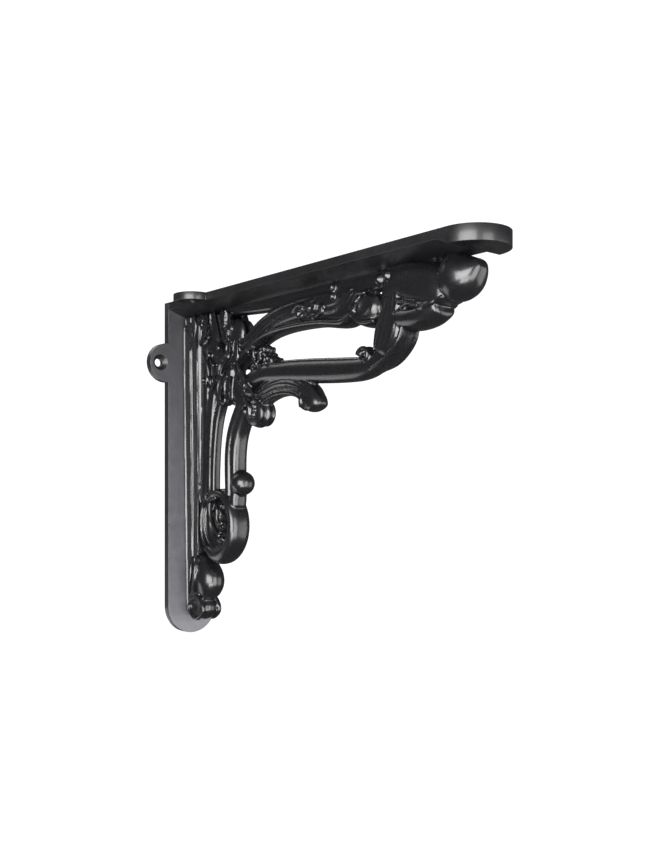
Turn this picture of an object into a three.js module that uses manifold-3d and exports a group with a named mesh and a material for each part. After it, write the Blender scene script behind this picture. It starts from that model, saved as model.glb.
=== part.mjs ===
import * as THREE from "three";
import { mergeVertices } from "three/addons/utils/BufferGeometryUtils.js";
import Module from "manifold-3d";

const wasm = await Module();
wasm.setup();

// Driving dimensions in millimetres. +Z is up, the wall is the plane Y = 0 and the arm runs along -Y.
const wallHeight = 220;
const armLength = 274;
const plateWidth = 37.5;
const wallThick = 5.2;
const shelfThick = 4.8;
const ridgeDrop = 4.5;
const ridgeWidth = 11;
const ridgeEnd = 270;
const hipLength = 10;
const noseThick = 8.2;
const noseStart = 248;
const noseRamp = 8;
const earRadius = 12.8;
const earReach = 13.6;
const boreReach = 6;
const screwBore = 5.3;
const sinkBore = 10.6;
const sinkDepth = 3;
const wallEarDrop = 40;
const wallLowEarDrop = 146;
const shelfEarOut = 37;
const shelfFarEarOut = 160;
const toolClearance = 1;

// The scrollwork is drawn from the wall (u) and down from the shelf top (z) for plates of this size,
// and is stretched with them.
const drawnArm = 274;
const drawnWall = 220;
const drawnWidth = 37.5;
const stretchU = armLength / drawnArm;
const stretchZ = wallHeight / drawnWall;
const stretchX = plateWidth / drawnWidth;

const limbSides = 8;
const rowsPerSpan = 2;
const leafSides = 6;
const bossSides = 8;
const bossRows = 4;
const arcSteps = 13;
const half = plateWidth / 2;
const shelfTop = wallEarDrop;

// Turn a closed geometry into a solid.
function solid(geometry) {
  const bare = geometry.clone();
  bare.deleteAttribute("normal");
  bare.deleteAttribute("uv");
  const merged = mergeVertices(bare, 1e-4);
  const mesh = new wasm.Mesh({
    numProp: 3,
    vertProperties: new Float32Array(merged.attributes.position.array),
    triVerts: new Uint32Array(merged.index.array),
  });
  return new wasm.Manifold(mesh);
}

function joined(solids) {
  let whole = solids[0];
  for (const next of solids.slice(1)) {
    whole = whole.add(next);
  }
  return whole;
}

function geometryOf(body) {
  const mesh = body.getMesh();
  const geometry = new THREE.BufferGeometry();
  geometry.setAttribute("position", new THREE.BufferAttribute(mesh.vertProperties, 3));
  geometry.setIndex(new THREE.BufferAttribute(mesh.triVerts, 1));
  return geometry;
}

// A plate outline: straight sides, one half-round end and round ears. Its length runs along -Y.
function plateShape(length, ears) {
  const shape = new THREE.Shape();
  const rise = Math.sqrt(earRadius ** 2 - (earReach - earRadius) ** 2);
  const sorted = (side) => ears.filter((ear) => ear.side === side).sort((a, b) => a.at - b.at);
  shape.moveTo(half, 0);
  shape.lineTo(-half, 0);
  for (const ear of sorted(-1)) {
    const start = Math.atan2(rise, earReach - earRadius);
    shape.lineTo(-half, -ear.at + rise);
    shape.absarc(-half - earReach + earRadius, -ear.at, earRadius, start, 2 * Math.PI - start, false);
  }
  shape.lineTo(-half, half - length);
  shape.absarc(0, half - length, half, Math.PI, 2 * Math.PI, false);
  for (const ear of sorted(1).reverse()) {
    const start = Math.atan2(rise, earReach - earRadius);
    shape.lineTo(half, -ear.at - rise);
    shape.absarc(half + earReach - earRadius, -ear.at, earRadius, start - Math.PI, Math.PI - start, false);
  }
  return shape;
}

function flatSlab(shape, depth) {
  return new THREE.ExtrudeGeometry(shape, { depth, bevelEnabled: false, curveSegments: arcSteps });
}

// The middle of the screw bore in an ear.
function boreCentre(ear) {
  return { x: ear.side * (half + boreReach), at: ear.at };
}

// A screw hole with a countersink, its mouth at height 0 and opening along +Z.
function screwHole(depth) {
  const r = screwBore / 2;
  const mouth = sinkBore / 2;
  const over = toolClearance;
  const profile = [
    new THREE.Vector2(0, -depth - over),
    new THREE.Vector2(r, -depth - over),
    new THREE.Vector2(r, -sinkDepth),
    new THREE.Vector2(mouth, 0),
    new THREE.Vector2(mouth, over),
    new THREE.Vector2(0, over),
  ];
  return new THREE.LatheGeometry(profile, arcSteps).rotateX(Math.PI / 2);
}

function wallPlate() {
  const ears = [{ side: -1, at: wallEarDrop }, { side: 1, at: wallLowEarDrop }];
  const shape = plateShape(wallHeight, ears);
  const slab = flatSlab(shape, wallThick);
  slab.rotateX(Math.PI / 2).translate(0, 0, shelfTop);
  let plate = solid(slab);
  for (const ear of ears) {
    const { x, at } = boreCentre(ear);
    const hole = screwHole(wallThick);
    hole.rotateX(Math.PI / 2).translate(x, -wallThick, shelfTop - at);
    plate = plate.subtract(solid(hole));
  }
  return plate;
}

// The ridge under the shelf plate: it falls from both edges to the scrollwork and ends in a hip.
function shelfRidge() {
  const inside = shelfThick / 2;
  const share = inside / ridgeDrop;
  const wide = half + (half - ridgeWidth / 2) * share;
  const long = ridgeEnd + hipLength * share;
  const roof = new THREE.BoxGeometry(1, 1, 1);
  const position = roof.attributes.position;
  for (let i = 0; i < position.count; i += 1) {
    const low = position.getZ(i) < 0;
    const outer = position.getY(i) < 0;
    const x = Math.sign(position.getX(i)) * (low ? ridgeWidth / 2 : wide);
    const y = outer ? (low ? hipLength - ridgeEnd : -long) : 0;
    position.setXYZ(i, x, y, shelfTop - shelfThick + (low ? -ridgeDrop : inside));
  }
  return solid(roof);
}

// The round end of the shelf plate is thicker, and runs up to it on a short ramp underneath.
function shelfNose() {
  const inside = shelfThick / 2;
  const share = inside / (noseThick - shelfThick);
  const block = new THREE.BoxGeometry(1, 1, 1);
  const position = block.attributes.position;
  for (let i = 0; i < position.count; i += 1) {
    const low = position.getZ(i) < 0;
    const outer = position.getY(i) < 0;
    const start = low ? noseStart + noseRamp : noseStart - noseRamp * share;
    const x = Math.sign(position.getX(i)) * (half + toolClearance);
    const y = outer ? -armLength - toolClearance : -start;
    position.setXYZ(i, x, y, shelfTop - (low ? noseThick : inside));
  }
  return solid(block);
}

// The shelf plate: flat on top, and underneath flat at its edges and ridged over the scrollwork.
function shelfPlate() {
  const ears = [{ side: -1, at: shelfEarOut }, { side: 1, at: shelfFarEarOut }];
  const shape = plateShape(armLength, ears);
  const slab = flatSlab(shape, shelfThick);
  slab.translate(0, 0, shelfTop - shelfThick);
  const outline = flatSlab(shape, shelfThick + ridgeDrop + toolClearance);
  outline.translate(0, 0, shelfTop - shelfThick - ridgeDrop - toolClearance);
  let plate = solid(slab).add(shelfRidge().add(shelfNose()).intersect(solid(outline)));
  for (const ear of ears) {
    const { x, at } = boreCentre(ear);
    const hole = screwHole(shelfThick);
    hole.rotateX(Math.PI).translate(x, -at, shelfTop - shelfThick);
    plate = plate.subtract(solid(hole));
  }
  return plate;
}

// A point of the drawing in space.
function place(u, z, x = 0) {
  return new THREE.Vector3(x * stretchX, -u * stretchU, shelfTop + z * stretchZ);
}

// A round-ended limb along drawn stations. Each station is u, z, half the width seen from the side
// and half the thickness across.
function limb(stations, squareness = 0.75, sideways = 0, sides = limbSides, perSpan = rowsPerSpan) {
  const points = stations.map(([u, z]) => place(u, z, sideways));
  const widths = stations.map(([, , w, h]) => new THREE.Vector3(w, h, 0));
  const middle = new THREE.CatmullRomCurve3(points, false, "centripetal");
  const sizes = new THREE.CatmullRomCurve3(widths);
  const rows = (stations.length - 1) * perSpan + 2;
  const geometry = new THREE.SphereGeometry(1, sides, rows);
  const position = geometry.attributes.position;
  const grow = Math.min(stretchU, stretchZ);
  const point = new THREE.Vector3();
  for (let i = 0; i < position.count; i += 1) {
    point.fromBufferAttribute(position, i);
    const row = Math.round((Math.acos(THREE.MathUtils.clamp(point.y, -1, 1)) / Math.PI) * rows);
    const share = THREE.MathUtils.clamp((row - 1) / (rows - 2), 0, 1);
    const centre = middle.getPoint(share);
    const along = middle.getTangent(share);
    const size = sizes.getPoint(share);
    const ring = Math.hypot(point.x, point.z);
    if (ring < 1e-6 || row === 0 || row === rows) {
      const way = row === 0 ? -1 : 1;
      centre.addScaledVector(along, way * size.x * grow * 0.6);
      position.setXYZ(i, centre.x, centre.y, centre.z);
    } else {
      const end = row === 1 || row === rows - 1 ? 0.72 : 1;
      const c = Math.sign(point.x) * Math.abs(point.x / ring) ** squareness;
      const s = Math.sign(point.z) * Math.abs(point.z / ring) ** squareness;
      const inPlane = c * size.x * grow * end;
      const across = s * size.y * stretchX * end;
      position.setXYZ(i, centre.x + across, centre.y - along.z * inPlane, centre.z + along.y * inPlane);
    }
  }
  return solid(geometry);
}

// An egg-shaped boss of half sizes ru, rz and rx.
function boss(u, z, ru, rz, rx, x = 0) {
  const reach = Math.max(ru, rz);
  const sides = reach > 8 ? bossSides + 4 : reach > 5.5 ? bossSides : bossSides - 2;
  const geometry = new THREE.SphereGeometry(1, sides, reach > 8 ? bossRows + 2 : bossRows);
  geometry.rotateZ(Math.PI / 2);
  geometry.scale(rx * stretchX, ru * stretchU, rz * stretchZ);
  const middle = place(u, z, x);
  geometry.translate(middle.x, middle.y, middle.z);
  return solid(geometry);
}

// The same piece on both faces of the scrollwork.
function bothFaces(make, out) {
  return [make(-out), make(out)];
}

// A pointed leaf lying on a face, from its root towards its tip.
function leaf(u, z, length, width, angle, out, thick = 3) {
  const turn = THREE.MathUtils.degToRad(angle);
  const step = (share) => [u + Math.cos(turn) * length * share, z + Math.sin(turn) * length * share];
  const stations = [
    [...step(0), width * 0.35, thick * 0.8],
    [...step(0.5), width * 0.5, thick],
    [...step(1), width * 0.15, thick * 0.4],
  ];
  return bothFaces((x) => limb(stations, 1, x, leafSides, 1), out);
}

// The reeded stem against the wall: upright reeds that grow thinner away from it and close in downwards.
function reededStem() {
  const reeds = [
    [[10, -12, 5, 8], [10, -60, 5, 7.4], [10, -108, 5, 6.5], [9.5, -207, 5, 4.5]],
    [[19, -24, 4.8, 7.4], [18.8, -62, 4.8, 6.8], [18.5, -103, 4.6, 6], [15.5, -195, 5, 5.5]],
    [[28, -30, 4.8, 6.6], [27, -64, 4.8, 6.2], [25.5, -98, 4.4, 5.6], [23, -131, 4.2, 5]],
    [[36, -55, 4.2, 5], [32, -76, 4, 4.8], [29.5, -98, 4, 4.4], [28.5, -127, 4, 4.5]],
    [
      [44, -62, 3.6, 4],
      [38, -77, 3, 3.6],
      [34.5, -92, 2.8, 3.2],
      [32.6, -110, 2.8, 3.2],
      [32, -127, 2.8, 3.2],
    ],
  ];
  return reeds.map((stations) => limb(stations, 0.8, 0, limbSides, 1));
}

// The tall scroll below the stems: a ring, its dished middle and the coil inside it.
function lowerScroll() {
  const centre = [41.5, -148.2];
  const tall = 1.16;
  const ring = [];
  const turnSteps = 14;
  for (let i = 0; i <= turnSteps; i += 1) {
    const share = i / turnSteps;
    const angle = THREE.MathUtils.degToRad(150 - share * 415);
    const reach = 17.6 - share ** 3 * 6;
    ring.push([
      centre[0] + Math.cos(angle) * reach,
      centre[1] + Math.sin(angle) * reach * tall,
      5.4 - share * 1.6,
      7.4 - share ** 2 * 2.6,
    ]);
  }
  const coil = [];
  const coilSteps = 4;
  for (let i = 0; i <= coilSteps; i += 1) {
    const angle = THREE.MathUtils.degToRad(100 - (i / coilSteps) * 280);
    const reach = 9 - (i / coilSteps) * 4.6;
    coil.push([centre[0] + Math.cos(angle) * reach, centre[1] + 2 + Math.sin(angle) * reach, 2.7, 4.4]);
  }
  const eye = place(45.2, -137);
  const eyeHole = new THREE.CylinderGeometry(3.4, 3.4, plateWidth, 6).rotateZ(Math.PI / 2);
  eyeHole.translate(eye.x, eye.y, eye.z);
  const scroll = joined([
    limb(ring, 0.8, 0, limbSides, 1),
    limb(coil, 0.9, 0, leafSides, 1),
    boss(centre[0], centre[1], 13.5, 15.5, 3.4),
    boss(centre[0], centre[1] + 2, 3.8, 3.8, 5.6),
  ]);
  return [scroll.subtract(solid(eyeHole))];
}

// The bud and the shell tip that end the wall side.
function budAndTip() {
  return [
    boss(25, -184, 12.5, 12, 9),
    limb([[16, -168, 4, 5], [24, -172, 5, 6.5], [32, -178.5, 4, 6.5]], 0.9, 0, leafSides, 1),
    boss(19, -201.5, 10.5, 9, 8),
    limb([[10, -198, 3, 7], [21, -197.5, 3, 8], [29, -195, 2.4, 5]], 0.9, 0, leafSides, 1),
  ];
}

// The second stem with its ball, and the knob it hangs from.
function hangingStem() {
  return [
    limb([
      [74.5, -74, 5, 6],
      [64.5, -80, 5.8, 5.8],
      [58, -89, 6.6, 5.6],
      [56, -102, 7, 5.4],
      [56, -118, 7.2, 5.2],
    ]),
    boss(63.5, -120, 7.8, 7.8, 7.6),
    limb([[50, -120, 4, 6], [53.5, -126, 6, 6.5], [54.5, -133, 5, 6.5]], 0.9, 0, limbSides, 1),
    boss(82, -77, 9.5, 9, 8.6),
    ...leaf(74, -61.5, 18, 9, -50, 6),
  ];
}

// The main lower limb, which runs out and turns up to the front lobes.
function mainLimb() {
  return [
    limb([
      [68, -60, 6, 6],
      [87.5, -53.5, 6.2, 6.2],
      [111.5, -54, 7, 6.6],
      [137.5, -56, 7.4, 6.6],
      [161, -57.8, 7.2, 6.6],
      [179, -58.8, 6.8, 6.6],
      [193, -55.5, 6, 6.6],
      [203.5, -49, 5.8, 6.4],
      [211, -40, 5.8, 6.2],
      [207, -33, 5, 6],
    ]),
    boss(181, -52, 5.6, 5.4, 7),
    limb([[198, -13, 9, 6], [198, -27.5, 10, 6.6], [197, -42.5, 9.6, 6.4], [193, -54, 7, 6]]),
    ...leaf(201, -20, 34, 8, -96, 5.4),
  ];
}

// The hooked scroll under the main limb, with its two end curls.
function hookScroll() {
  return [
    limb([
      [77, -72, 5, 5.6],
      [85.5, -66, 5.4, 5.8],
      [98.5, -62.5, 5.6, 6],
      [112, -61.8, 5.4, 6],
      [124.5, -64.5, 5.6, 6],
      [134.5, -70, 6.4, 6.2],
      [139, -76.5, 6.4, 6.4],
    ]),
    boss(127.5, -73.5, 4.4, 5, 6),
    limb([
      [121.5, -68, 3, 5],
      [122.5, -72, 3, 5.4],
      [127, -76, 2.8, 5.6],
      [132, -74, 2.6, 5.4],
    ], 0.9, 0, leafSides, 1),
  ];
}

// The upper branch, from the heart of the bracket to the underside of the shelf and along it.
function upperBranch() {
  return [
    limb([
      [52, -49, 6, 6],
      [63.5, -41, 6, 6.2],
      [77, -34, 6, 6.2],
      [91.5, -26, 7.8, 6.2],
      [111, -21, 9, 6],
      [136.5, -19.5, 10, 5.8],
      [155.5, -20.5, 11.5, 6],
      [168, -21.5, 12, 6.2],
      [178.5, -21, 11, 6],
    ], 0.75, 0, limbSides, 1),
    limb([
      [65, -42, 2.8, 7.2],
      [78, -35.4, 2.4, 7.2],
      [93.5, -30.4, 2.4, 7],
      [115, -28.4, 2.4, 6.8],
      [141, -29.2, 2.4, 6.8],
    ], 1, 0, leafSides, 1),
    limb([
      [137, -28.6, 2.4, 6.8],
      [154, -31, 3, 7.2],
      [164, -32, 3, 7.4],
      [172, -30, 2.8, 7.2],
      [177, -25.5, 2, 6.6],
    ], 1, 0, leafSides, 1),
    limb([
      [48, -9.5, 4, 5.4],
      [100, -11, 6, 5.4],
      [170, -12, 7, 5.4],
      [232, -12, 6, 5.4],
    ], 0.6, 0, limbSides, 1),
    ...leaf(106.5, -15.5, 24, 7, -8, 5.2),
    ...leaf(147, -17, 16, 7, -35, 5.4),
    ...bothFaces((x) => boss(133, -19, 5.2, 5.2, 3, x), 5.8),
    ...bothFaces((x) => boss(152.5, -17, 3.2, 4, 2.6, x), 6),
  ];
}

// The round boss and the rolled lobes that fill the front under the shelf.
function frontLobes() {
  return [
    boss(183, -27, 10.5, 9, 8.4),
    limb([
      [172.5, -24, 2.4, 8],
      [175.5, -31, 2.4, 8.4],
      [183, -35, 2.4, 8.4],
      [191.5, -35, 2.4, 8],
    ], 1, 0, leafSides, 1),
    boss(193.5, -13.5, 4.4, 4.4, 7.4),
    limb([
      [198, -33, 4, 7],
      [208, -35.5, 5.4, 7.6],
      [219, -36.8, 5.4, 8],
      [228, -35.2, 5, 8],
      [234, -31.5, 4, 7.4],
    ], 0.9, 0, limbSides, 1),
    limb([
      [199, -13, 5, 6.6],
      [213, -16, 8.4, 9],
      [227.5, -18.5, 10.4, 10],
      [241, -19.5, 11, 10.6],
    ], 0.85, 0, limbSides, 1),
    boss(249.5, -19.5, 11, 12, 12),
    limb([
      [212, -26, 2.6, 10],
      [224, -28.2, 2.8, 10.6],
      [235, -29.7, 2.8, 10.6],
      [244, -28.8, 2.6, 10],
    ], 1, 0, leafSides, 1),
  ];
}

// Foliage: the corner spray, the leafy heart and the berry cluster in the oval opening.
function foliage() {
  const spray = [
    [9, -14, 26, 10, -66],
    [21, -14, 28, 10, -74],
    [34, -13, 27, 10, -62],
    [36, -17, 27, 8, -26],
  ].flatMap(([u, z, length, width, angle]) => leaf(u, z, length, width, angle, 5.2, 3.6));
  const heart = [210, 255, 300, 340, 100].flatMap((angle, i) => {
    const length = i % 2 === 0 ? 19 : 15;
    return leaf(54, -50, length, 10, angle, 5.6, 3.4);
  });
  const clusterSpots = [
    [90, -39, 3.6],
    [87, -44.5, 5],
    [96, -46, 4.6],
    [86, -51, 4.8],
    [81, -46, 4.6],
  ];
  const cluster = clusterSpots.map(([u, z, r]) => boss(u, z, r, r, r * 1.2));
  return [
    limb([
      [9, -14, 8, 7],
      [24.5, -17, 9, 6.6],
      [40, -18, 8, 6.2],
      [50, -23, 6, 5.6],
      [58, -31, 6, 5.6],
    ], 0.9, 0, limbSides, 1),
    limb([
      [29, -27.5, 9, 6],
      [40.5, -39, 10, 6],
      [52, -50, 11, 6],
      [61, -62, 8, 5.6],
      [70, -71, 6, 5.6],
    ], 0.9, 0, limbSides, 1),
    limb([
      [22.5, -29.5, 8, 6.4],
      [31.5, -47, 8, 6],
      [41, -60, 6, 5],
      [48, -68, 4, 4.4],
    ], 0.9, 0, leafSides, 1),
    ...spray,
    ...heart,
    boss(54, -50, 7, 7, 9),
    ...cluster,
  ];
}

function bracket() {
  return joined([
    wallPlate(),
    shelfPlate(),
    ...reededStem(),
    ...lowerScroll(),
    ...budAndTip(),
    ...hangingStem(),
    ...mainLimb(),
    ...hookScroll(),
    ...upperBranch(),
    ...frontLobes(),
    ...foliage(),
  ]);
}

const blackIron = new THREE.MeshStandardMaterial({ color: 0x17171a, roughness: 0.42, metalness: 0.35 });
const bracketMesh = new THREE.Mesh(geometryOf(bracket()), blackIron);
bracketMesh.name = "bracket";

const part = new THREE.Group();
part.add(bracketMesh);

export default part;
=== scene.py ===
import math

import bmesh
import bpy
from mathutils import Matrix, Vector


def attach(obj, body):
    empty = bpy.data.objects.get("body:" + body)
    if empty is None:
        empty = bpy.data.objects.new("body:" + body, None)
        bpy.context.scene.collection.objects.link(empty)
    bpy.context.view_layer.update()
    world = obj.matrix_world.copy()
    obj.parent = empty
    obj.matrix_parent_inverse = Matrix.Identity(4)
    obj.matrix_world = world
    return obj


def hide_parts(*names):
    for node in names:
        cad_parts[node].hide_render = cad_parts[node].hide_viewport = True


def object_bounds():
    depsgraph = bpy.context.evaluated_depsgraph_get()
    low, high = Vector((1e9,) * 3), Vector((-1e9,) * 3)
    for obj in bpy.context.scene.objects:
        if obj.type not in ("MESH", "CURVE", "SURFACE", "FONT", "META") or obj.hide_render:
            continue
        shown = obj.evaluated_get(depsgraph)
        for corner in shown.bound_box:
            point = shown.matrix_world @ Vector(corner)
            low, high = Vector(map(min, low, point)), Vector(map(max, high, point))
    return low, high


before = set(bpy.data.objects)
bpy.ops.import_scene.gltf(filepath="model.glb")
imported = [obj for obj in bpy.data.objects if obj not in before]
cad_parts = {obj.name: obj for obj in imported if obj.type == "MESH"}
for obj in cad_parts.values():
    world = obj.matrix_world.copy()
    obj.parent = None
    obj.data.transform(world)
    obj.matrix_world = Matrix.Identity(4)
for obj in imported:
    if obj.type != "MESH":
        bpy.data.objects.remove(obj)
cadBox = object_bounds()
cadLow, cadHigh = (Vector(corner) for corner in cadBox)
mm = 0.001
shelfTop = cadHigh.z  # the drawing is measured down from here and out from the wall


def at(u, z, x=0.0):
    # a point of the side drawing: u out from the wall, z from the shelf top, x across, all in mm
    return Vector((x * mm, -u * mm, shelfTop + z * mm))


def onlySelect(piece):
    bpy.ops.object.select_all(action="DESELECT")
    piece.select_set(True)
    bpy.context.view_layer.objects.active = piece


def useModifier(piece, kind, **settings):
    onlySelect(piece)
    modifier = piece.modifiers.new(kind.title(), kind)
    for key, value in settings.items():
        setattr(modifier, key, value)
    bpy.ops.object.modifier_apply(modifier=modifier.name)


def pick(piece, test):
    # select the vertices that pass the test, and nothing else
    mesh = piece.data
    for part in (mesh.polygons, mesh.edges):
        part.foreach_set("select", [False] * len(part))
    for vertex in mesh.vertices:
        vertex.select = test(vertex.co)


def joinAll(pieces, name):
    bpy.ops.object.select_all(action="DESELECT")
    for piece in pieces:
        piece.select_set(True)
    bpy.context.view_layer.objects.active = pieces[0]
    bpy.ops.object.join()
    whole = bpy.context.active_object
    whole.name = name
    whole.data.name = name
    bpy.ops.object.transform_apply(location=True, rotation=True, scale=True)
    return whole


def cutAway(piece, cutter):
    useModifier(piece, "BOOLEAN", operation="DIFFERENCE", solver="EXACT", object=cutter)
    bpy.data.objects.remove(cutter)


def addOn(piece, extra):
    useModifier(piece, "BOOLEAN", operation="UNION", solver="EXACT", object=extra)
    bpy.data.objects.remove(extra)


plates = {
    "width": 37.5,
    "wallLength": 220.0,
    "shelfLength": 274.0,
    "wallThick": 5.2,
    "shelfThick": 4.8,
    "ridgeDrop": 4.5,
    "ridgeWidth": 11.0,
    "ridgeStart": 2.0,
    "ridgeEnd": 270.0,
    "hip": 10.0,
    "noseThick": 8.2,
    "noseStart": 248.0,
    "noseRamp": 8.0,
    "earRadius": 12.8,
    "earReach": 13.6,
    "boreReach": 6.0,
    "bore": 5.3,
    "sink": 10.6,
    "sinkDepth": 3.0,
    "wallEars": [(-1, 40.0), (1, 146.0)],
    "shelfEars": [(-1, 37.0), (1, 160.0)],
    "edgeRound": 0.85,
    "edgeSteps": 3,
    "edgeFrom": 25,
    "roundSides": 96,
    "boreSides": 48,
    "over": 1.0,
    "merge": 0.01,
    "sliver": 0.005,
    "nearlyFlat": 0.3,
}


def disc(sides, radius, thick, place):
    bpy.ops.object.select_all(action="DESELECT")
    bpy.ops.mesh.primitive_cylinder_add(
        vertices=sides, radius=radius * mm, depth=thick * mm, location=[value * mm for value in place]
    )
    return bpy.context.active_object


def roundEndPlate(length, thick, ears):
    # a flat plate lying under z = 0, from y = 0 along -Y, with one half-round end and round ears
    half = plates["width"] / 2
    plate = disc(plates["roundSides"], half, thick, (0, half - length, -thick / 2))
    bpy.ops.object.transform_apply(location=True, rotation=True, scale=True)
    centre = (half - length) * mm
    pick(plate, lambda co: co.y > centre + half * mm * 0.02)
    bpy.ops.object.mode_set(mode="EDIT")
    bpy.ops.mesh.select_mode(type="VERT")
    bpy.ops.transform.resize(value=(1, 0, 1), center_override=(0, centre, 0))
    bpy.ops.transform.translate(value=(0, -centre, 0))
    bpy.ops.mesh.select_all(action="SELECT")
    bpy.ops.mesh.remove_doubles(threshold=plates["merge"] * mm)
    bpy.ops.object.mode_set(mode="OBJECT")
    squareUp(plate, half)
    for side, along in ears:
        middle = side * (half + plates["earReach"] - plates["earRadius"])
        addOn(plate, disc(plates["roundSides"], plates["earRadius"], thick, (middle, -along, -thick / 2)))
    for side, along in ears:
        cutAway(plate, screwHole(side, along, thick))
    return plate


def squareUp(plate, half):
    # the wall end runs straight across to both edges
    top = [v for v in plate.data.vertices if v.co.y > -0.02 * mm]
    reach = max(abs(v.co.x) for v in top)
    for vertex in top:
        vertex.co.x *= half * mm / reach


def screwHole(side, along, thick):
    # drilled through, with its countersink on the face at z = -thick
    x = side * (plates["width"] / 2 + plates["boreReach"])
    over = plates["over"]
    drill = disc(plates["boreSides"], plates["bore"] / 2, thick + 2 * over, (x, -along, -thick / 2))
    slope = (plates["sink"] - plates["bore"]) / 2 / plates["sinkDepth"]
    bpy.ops.mesh.primitive_cone_add(
        vertices=plates["boreSides"],
        radius1=(plates["sink"] / 2 + over * slope) * mm,
        radius2=plates["bore"] / 2 * 0.98 * mm,
        depth=(plates["sinkDepth"] + over) * mm,
        location=(x * mm, -along * mm, (-thick - over + (plates["sinkDepth"] + over) / 2) * mm),
    )
    addOn(drill, bpy.context.active_object)
    return drill


def shelfRidge():
    # a middle rib under the shelf, with sloped sides and a hipped outer end
    half = plates["width"] / 2
    inside = plates["shelfThick"] / 2
    share = inside / plates["ridgeDrop"]
    wide = half + (half - plates["ridgeWidth"] / 2) * share
    long = plates["ridgeEnd"] + plates["hip"] * share
    bpy.ops.object.select_all(action="DESELECT")
    bpy.ops.mesh.primitive_cube_add(size=1, location=(0, 0, 0))
    ridge = bpy.context.active_object
    for vertex in ridge.data.vertices:
        low, outer = vertex.co.z < 0, vertex.co.y < 0
        side = 1 if vertex.co.x > 0 else -1
        end = plates["ridgeEnd"] - plates["hip"] if low else long
        vertex.co.x = side * (plates["ridgeWidth"] / 2 if low else wide) * mm
        vertex.co.y = -(end if outer else plates["ridgeStart"]) * mm
        vertex.co.z = -plates["shelfThick"] * mm + (-plates["ridgeDrop"] if low else inside) * mm
    return ridge


def shelfNose():
    # the round end is thicker, and runs up to it on a short ramp underneath
    inside = plates["shelfThick"] / 2
    share = inside / (plates["noseThick"] - plates["shelfThick"])
    bpy.ops.object.select_all(action="DESELECT")
    bpy.ops.mesh.primitive_cube_add(size=1, location=(0, 0, 0))
    nose = bpy.context.active_object
    for vertex in nose.data.vertices:
        low, outer = vertex.co.z < 0, vertex.co.y < 0
        side = 1 if vertex.co.x > 0 else -1
        start = plates["noseStart"] + (plates["noseRamp"] if low else -plates["noseRamp"] * share)
        vertex.co.x = side * (plates["width"] / 2 + plates["over"]) * mm
        vertex.co.y = -(plates["shelfLength"] + plates["over"] if outer else start) * mm
        vertex.co.z = -(plates["noseThick"] if low else inside) * mm
    return nose


def makePlates():
    wall = roundEndPlate(plates["wallLength"], plates["wallThick"], plates["wallEars"])
    for vertex in wall.data.vertices:
        x, y, z = vertex.co
        vertex.co = (x, z, y + shelfTop)  # lay it against the wall
    wall.data.update()
    shelf = roundEndPlate(plates["shelfLength"], plates["shelfThick"], plates["shelfEars"])
    deep = plates["shelfThick"] + plates["ridgeDrop"] + plates["over"]
    outline = roundEndPlate(plates["shelfLength"], deep, [])
    ridge = shelfRidge()
    addOn(ridge, shelfNose())
    useModifier(ridge, "BOOLEAN", operation="INTERSECT", solver="EXACT", object=outline)
    bpy.data.objects.remove(outline)
    addOn(shelf, ridge)
    for vertex in shelf.data.vertices:
        vertex.co.z += shelfTop
    both = wall
    addOn(both, shelf)
    both.name = "plates"
    bpy.ops.object.mode_set(mode="EDIT")
    bpy.ops.mesh.select_all(action="SELECT")
    bpy.ops.mesh.remove_doubles(threshold=plates["merge"] * mm)
    bpy.ops.mesh.dissolve_limited(angle_limit=math.radians(plates["nearlyFlat"]))
    bpy.ops.mesh.dissolve_degenerate(threshold=plates["sliver"] * mm)
    bpy.ops.mesh.select_all(action="DESELECT")
    bpy.ops.mesh.select_interior_faces()  # a sheet is left inside where the two plates meet
    bpy.ops.mesh.delete(type="ONLY_FACE")
    bpy.ops.mesh.select_all(action="SELECT")
    bpy.ops.mesh.delete_loose()
    bpy.ops.mesh.select_all(action="SELECT")
    bpy.ops.mesh.normals_make_consistent(inside=False)
    bpy.ops.object.mode_set(mode="OBJECT")
    useModifier(
        both, "BEVEL", width=plates["edgeRound"] * mm, segments=plates["edgeSteps"],
        limit_method="ANGLE", angle_limit=math.radians(plates["edgeFrom"]),
    )
    return both


limbs = {"sides": 12, "stepsPerSpan": 2, "capInset": 0.35, "capRise": 0.3}


def smoothStations(stations, steps):
    # a smooth curve through every station
    rows = []
    last = len(stations) - 1
    for span in range(last):
        a = stations[max(span - 1, 0)]
        b = stations[span]
        c = stations[span + 1]
        d = stations[min(span + 2, last)]
        for step in range(steps):
            t = step / steps
            rows.append([
                0.5 * (2 * q + (r - p) * t + (2 * p - 5 * q + 4 * r - s) * t * t
                       + (3 * q - p - 3 * r + s) * t ** 3)
                for p, q, r, s in zip(a, b, c, d)
            ])
    rows.append(list(stations[-1]))
    return rows


def turnAt(rows, index):
    # which way the drawing runs at a row, as a turn about X
    before = rows[max(index - 1, 0)]
    after = rows[min(index + 1, len(rows) - 1)]
    heading = Vector((0, -(after[0] - before[0]), after[1] - before[1])).normalized()
    return math.atan2(-heading.y, heading.z)


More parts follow.
